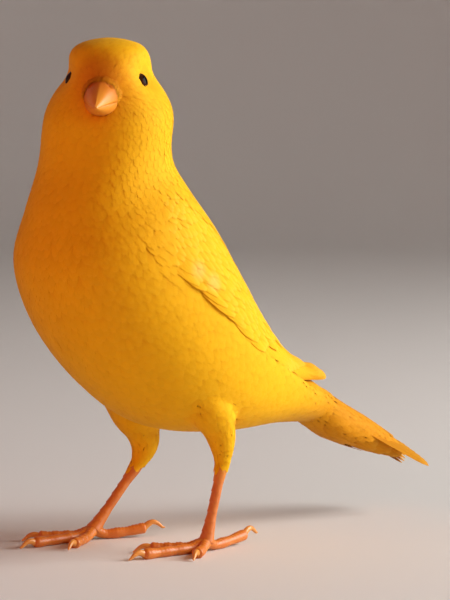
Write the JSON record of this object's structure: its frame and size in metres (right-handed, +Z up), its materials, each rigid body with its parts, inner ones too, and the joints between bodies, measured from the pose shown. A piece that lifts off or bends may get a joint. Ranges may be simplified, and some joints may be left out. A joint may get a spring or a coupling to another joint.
{
  "type": "canary",
  "caption": "Life-size still model of a yellow canary standing with its head turned to its left, wings folded, tail low.",
  "frame": {"origin": "middle of the underside of the model's box, on the floor under the bird", "axes": "+Z up, the bird heads along -Y, its left side is +X"},
  "size_m": [0.042, 0.1086, 0.1053],
  "materials": {
    "plumage": "soft body feathers, clear yellow, matt with a faint silky sheen",
    "wing_feathers": "smooth flight feathers and coverts, yellow with paler edges",
    "tail_feathers": "smooth tail feathers, yellow",
    "leg_skin": "scaled bare skin, orange flesh colour, satin",
    "claw_horn": "horn, pale orange, satin",
    "bill_horn": "horn, pale orange, satin",
    "eye_gloss": "wet dark brown eye"
  },
  "bodies": {
    "root": {"torso": "plumage", "neck": "plumage", "head": "plumage", "thigh_left": "plumage", "thigh_right": "plumage", "wing_left": "wing_feathers", "wing_right": "wing_feathers", "tail": "tail_feathers", "tarsus_left": "leg_skin", "tarsus_right": "leg_skin", "toe_left_1": "leg_skin", "toe_left_2": "leg_skin", "toe_left_3": "leg_skin", "toe_left_4": "leg_skin", "toe_right_1": "leg_skin", "toe_right_2": "leg_skin", "toe_right_3": "leg_skin", "toe_right_4": "leg_skin", "claw_left_1": "claw_horn", "claw_left_2": "claw_horn", "claw_left_3": "claw_horn", "claw_left_4": "claw_horn", "claw_right_1": "claw_horn", "claw_right_2": "claw_horn", "claw_right_3": "claw_horn", "claw_right_4": "claw_horn", "bill_upper": "bill_horn", "bill_lower": "bill_horn", "eye_left": "eye_gloss", "eye_right": "eye_gloss"}
  },
  "joints": []
}
